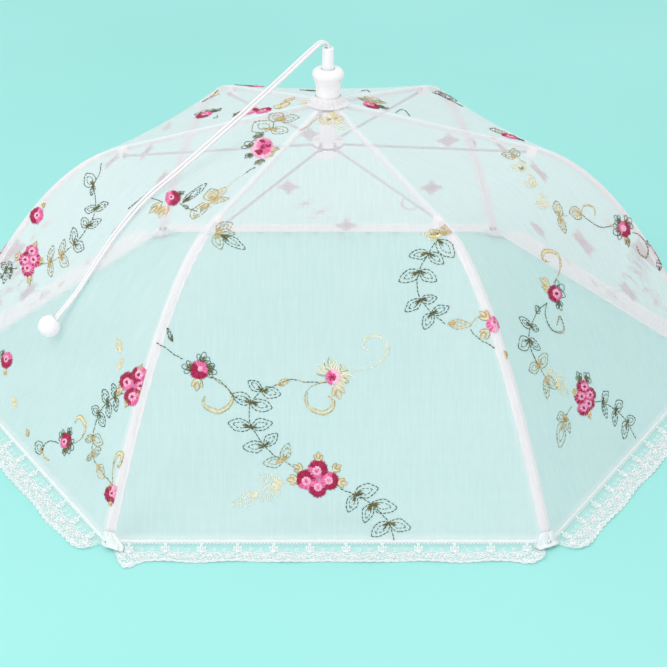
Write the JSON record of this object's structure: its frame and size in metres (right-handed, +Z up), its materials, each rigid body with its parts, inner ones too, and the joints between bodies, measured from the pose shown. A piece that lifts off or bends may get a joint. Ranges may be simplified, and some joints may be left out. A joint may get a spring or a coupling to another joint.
{
  "type": "folding mesh food cover",
  "caption": "Umbrella-style folding food cover of embroidered white net on wire ribs, with a knob, plunger stem, pull cord with a bead, and lace trim round a straight-sided hem.",
  "frame": {"origin": "on the table, straight below the crown's axis", "axes": "+Z up along the stem; rib 1 lies along +X; the pull cord lies towards -X and -Y"},
  "size_m": [0.6984, 0.6248, 0.2966],
  "materials": {
    "white_plastic": "moulded white plastic, soft gloss",
    "white_net": "sheer white polyester net with embroidery",
    "white_lace": "white machine lace",
    "sleeve_tape": "woven white tape",
    "enamelled_wire": "white enamel on spring wire",
    "steel_ring": "drawn steel wire",
    "cord_white": "twisted white polyester cord"
  },
  "bodies": {
    "hub": {"crown": "white_plastic", "crown_ring": "steel_ring", "top_patch": "white_net", "knob": "white_plastic", "pull_cord_a": "cord_white", "pull_cord_b": "cord_white"},
    "runner_body": {"runner": "white_plastic", "runner_ring": "steel_ring", "plunger_stem": "white_plastic", "inner_cord": "cord_white"},
    "bead_body": {"bead": "white_plastic"},
    "rib_body_1": {"rib_1": "enamelled_wire", "rib_clip_1": "white_plastic", "rib_tip_1": "white_plastic", "rib_sleeve_1": "sleeve_tape"},
    "strut_body_1": {"strut_1": "enamelled_wire"},
    "gore_body_1a": {"gore_1a": "white_net", "lace_1": "white_lace"},
    "gore_body_6b": {"gore_6b": "white_net"},
    "rib_body_2": {"rib_2": "enamelled_wire", "rib_clip_2": "white_plastic", "rib_tip_2": "white_plastic", "rib_sleeve_2": "sleeve_tape"},
    "strut_body_2": {"strut_2": "enamelled_wire"},
    "gore_body_2a": {"gore_2a": "white_net", "lace_2": "white_lace"},
    "gore_body_1b": {"gore_1b": "white_net"},
    "rib_body_3": {"rib_3": "enamelled_wire", "rib_clip_3": "white_plastic", "rib_tip_3": "white_plastic", "rib_sleeve_3": "sleeve_tape"},
    "strut_body_3": {"strut_3": "enamelled_wire"},
    "gore_body_3a": {"gore_3a": "white_net", "lace_3": "white_lace"},
    "gore_body_2b": {"gore_2b": "white_net"},
    "rib_body_4": {"rib_4": "enamelled_wire", "rib_clip_4": "white_plastic", "rib_tip_4": "white_plastic", "rib_sleeve_4": "sleeve_tape"},
    "strut_body_4": {"strut_4": "enamelled_wire"},
    "gore_body_4a": {"gore_4a": "white_net", "lace_4": "white_lace"},
    "gore_body_3b": {"gore_3b": "white_net"},
    "rib_body_5": {"rib_5": "enamelled_wire", "rib_clip_5": "white_plastic", "rib_tip_5": "white_plastic", "rib_sleeve_5": "sleeve_tape"},
    "strut_body_5": {"strut_5": "enamelled_wire"},
    "gore_body_5a": {"gore_5a": "white_net", "lace_5": "white_lace"},
    "gore_body_4b": {"gore_4b": "white_net"},
    "rib_body_6": {"rib_6": "enamelled_wire", "rib_clip_6": "white_plastic", "rib_tip_6": "white_plastic", "rib_sleeve_6": "sleeve_tape"},
    "strut_body_6": {"strut_6": "enamelled_wire"},
    "gore_body_6a": {"gore_6a": "white_net", "lace_6": "white_lace"},
    "gore_body_5b": {"gore_5b": "white_net"}
  },
  "joints": [
    {"name": "runner_slide", "type": "slide", "parent": "hub", "child": "runner_body", "axis": [0, 0, -1], "range_m": [0, 0.2488], "deforming": ["inner_cord"]},
    {"name": "bead_slide", "type": "slide", "parent": "hub", "child": "bead_body", "axis": [0.7482, 0.4025, 0.5274], "range_m": [0, 0.2647], "deforming": ["pull_cord_a", "pull_cord_b"]},
    {"name": "rib_hinge_1", "type": "hinge", "parent": "hub", "child": "rib_body_1", "pos_m": [0.01, 0, 0.2404], "axis": [0, 1, 0], "range_deg": [0, 48]},
    {"name": "strut_hinge_1", "type": "hinge", "parent": "runner_body", "child": "strut_body_1", "pos_m": [0.01, 0, 0.2075], "axis": [0, -1, 0], "range_deg": [0, 65]},
    {"name": "gore_crease_1a", "type": "hinge", "parent": "rib_body_1", "child": "gore_body_1a", "pos_m": [-0.05402, -0.01388, 0.52981], "axis": [-0.772, -0.2981, 0.5614], "range_deg": [0, 30.8], "deforming": ["gore_1a", "lace_1"]},
    {"name": "gore_crease_6b", "type": "hinge", "parent": "rib_body_1", "child": "gore_body_6b", "pos_m": [-0.05402, 0.01388, 0.52981], "axis": [0.772, -0.2981, -0.5614], "range_deg": [0, 30.8], "deforming": ["gore_6b"]},
    {"name": "rib_hinge_2", "type": "hinge", "parent": "hub", "child": "rib_body_2", "pos_m": [0.005, 0.00866, 0.2404], "axis": [-0.866, 0.5, 0], "range_deg": [0, 48]},
    {"name": "strut_hinge_2", "type": "hinge", "parent": "runner_body", "child": "strut_body_2", "pos_m": [0.005, 0.00866, 0.2075], "axis": [0.866, -0.5, 0], "range_deg": [0, 65]},
    {"name": "gore_crease_2a", "type": "hinge", "parent": "rib_body_2", "child": "gore_body_2a", "pos_m": [-0.01499, -0.05373, 0.52981], "axis": [-0.1279, -0.8176, 0.5614], "range_deg": [0, 30.8], "deforming": ["gore_2a", "lace_2"]},
    {"name": "gore_crease_1b", "type": "hinge", "parent": "rib_body_2", "child": "gore_body_1b", "pos_m": [-0.03903, -0.03985, 0.52981], "axis": [0.6441, 0.5196, -0.5614], "range_deg": [0, 30.8], "deforming": ["gore_1b"]},
    {"name": "rib_hinge_3", "type": "hinge", "parent": "hub", "child": "rib_body_3", "pos_m": [-0.005, 0.00866, 0.2404], "axis": [-0.866, -0.5, 0], "range_deg": [0, 48]},
    {"name": "strut_hinge_3", "type": "hinge", "parent": "runner_body", "child": "strut_body_3", "pos_m": [-0.005, 0.00866, 0.2075], "axis": [0.866, 0.5, 0], "range_deg": [0, 65]},
    {"name": "gore_crease_3a", "type": "hinge", "parent": "rib_body_3", "child": "gore_body_3a", "pos_m": [0.03903, -0.03985, 0.52981], "axis": [0.6441, -0.5196, 0.5614], "range_deg": [0, 30.8], "deforming": ["gore_3a", "lace_3"]},
    {"name": "gore_crease_2b", "type": "hinge", "parent": "rib_body_3", "child": "gore_body_2b", "pos_m": [0.01499, -0.05373, 0.52981], "axis": [-0.1279, 0.8176, -0.5614], "range_deg": [0, 30.8], "deforming": ["gore_2b"]},
    {"name": "rib_hinge_4", "type": "hinge", "parent": "hub", "child": "rib_body_4", "pos_m": [-0.01, 0, 0.2404], "axis": [0, -1, 0], "range_deg": [0, 48]},
    {"name": "strut_hinge_4", "type": "hinge", "parent": "runner_body", "child": "strut_body_4", "pos_m": [-0.01, 0, 0.2075], "axis": [0, 1, 0], "range_deg": [0, 65]},
    {"name": "gore_crease_4a", "type": "hinge", "parent": "rib_body_4", "child": "gore_body_4a", "pos_m": [0.05402, 0.01388, 0.52981], "axis": [0.772, 0.2981, 0.5614], "range_deg": [0, 30.8], "deforming": ["gore_4a", "lace_4"]},
    {"name": "gore_crease_3b", "type": "hinge", "parent": "rib_body_4", "child": "gore_body_3b", "pos_m": [0.05402, -0.01388, 0.52981], "axis": [-0.772, 0.2981, -0.5614], "range_deg": [0, 30.8], "deforming": ["gore_3b"]},
    {"name": "rib_hinge_5", "type": "hinge", "parent": "hub", "child": "rib_body_5", "pos_m": [-0.005, -0.00866, 0.2404], "axis": [0.866, -0.5, 0], "range_deg": [0, 48]},
    {"name": "strut_hinge_5", "type": "hinge", "parent": "runner_body", "child": "strut_body_5", "pos_m": [-0.005, -0.00866, 0.2075], "axis": [-0.866, 0.5, 0], "range_deg": [0, 65]},
    {"name": "gore_crease_5a", "type": "hinge", "parent": "rib_body_5", "child": "gore_body_5a", "pos_m": [0.01499, 0.05373, 0.52981], "axis": [0.1279, 0.8176, 0.5614], "range_deg": [0, 30.8], "deforming": ["gore_5a", "lace_5"]},
    {"name": "gore_crease_4b", "type": "hinge", "parent": "rib_body_5", "child": "gore_body_4b", "pos_m": [0.03903, 0.03985, 0.52981], "axis": [-0.6441, -0.5196, -0.5614], "range_deg": [0, 30.8], "deforming": ["gore_4b"]},
    {"name": "rib_hinge_6", "type": "hinge", "parent": "hub", "child": "rib_body_6", "pos_m": [0.005, -0.00866, 0.2404], "axis": [0.866, 0.5, 0], "range_deg": [0, 48]},
    {"name": "strut_hinge_6", "type": "hinge", "parent": "runner_body", "child": "strut_body_6", "pos_m": [0.005, -0.00866, 0.2075], "axis": [-0.866, -0.5, 0], "range_deg": [0, 65]},
    {"name": "gore_crease_6a", "type": "hinge", "parent": "rib_body_6", "child": "gore_body_6a", "pos_m": [-0.03903, 0.03985, 0.52981], "axis": [-0.6441, 0.5196, 0.5614], "range_deg": [0, 30.8], "deforming": ["gore_6a", "lace_6"]},
    {"name": "gore_crease_5b", "type": "hinge", "parent": "rib_body_6", "child": "gore_body_5b", "pos_m": [-0.01499, 0.05373, 0.52981], "axis": [0.1279, -0.8176, -0.5614], "range_deg": [0, 30.8], "deforming": ["gore_5b"]}
  ],
  "couplings": [
    {"joint": "bead_slide", "follows": "runner_slide", "ratio": 1.0634},
    {"joint": "rib_hinge_1", "follows": "runner_slide", "rad_per_m": 3.3667},
    {"joint": "strut_hinge_1", "follows": "runner_slide", "rad_per_m": 4.5564},
    {"joint": "gore_crease_1a", "follows": "runner_slide", "rad_per_m": 2.155},
    {"joint": "gore_crease_6b", "follows": "runner_slide", "rad_per_m": 2.155},
    {"joint": "rib_hinge_2", "follows": "runner_slide", "rad_per_m": 3.3667},
    {"joint": "strut_hinge_2", "follows": "runner_slide", "rad_per_m": 4.5564},
    {"joint": "gore_crease_2a", "follows": "runner_slide", "rad_per_m": 2.155},
    {"joint": "gore_crease_1b", "follows": "runner_slide", "rad_per_m": 2.155},
    {"joint": "rib_hinge_3", "follows": "runner_slide", "rad_per_m": 3.3667},
    {"joint": "strut_hinge_3", "follows": "runner_slide", "rad_per_m": 4.5564},
    {"joint": "gore_crease_3a", "follows": "runner_slide", "rad_per_m": 2.155},
    {"joint": "gore_crease_2b", "follows": "runner_slide", "rad_per_m": 2.155},
    {"joint": "rib_hinge_4", "follows": "runner_slide", "rad_per_m": 3.3667},
    {"joint": "strut_hinge_4", "follows": "runner_slide", "rad_per_m": 4.5564},
    {"joint": "gore_crease_4a", "follows": "runner_slide", "rad_per_m": 2.155},
    {"joint": "gore_crease_3b", "follows": "runner_slide", "rad_per_m": 2.155},
    {"joint": "rib_hinge_5", "follows": "runner_slide", "rad_per_m": 3.3667},
    {"joint": "strut_hinge_5", "follows": "runner_slide", "rad_per_m": 4.5564},
    {"joint": "gore_crease_5a", "follows": "runner_slide", "rad_per_m": 2.155},
    {"joint": "gore_crease_4b", "follows": "runner_slide", "rad_per_m": 2.155},
    {"joint": "rib_hinge_6", "follows": "runner_slide", "rad_per_m": 3.3667},
    {"joint": "strut_hinge_6", "follows": "runner_slide", "rad_per_m": 4.5564},
    {"joint": "gore_crease_6a", "follows": "runner_slide", "rad_per_m": 2.155},
    {"joint": "gore_crease_5b", "follows": "runner_slide", "rad_per_m": 2.155}
  ]
}
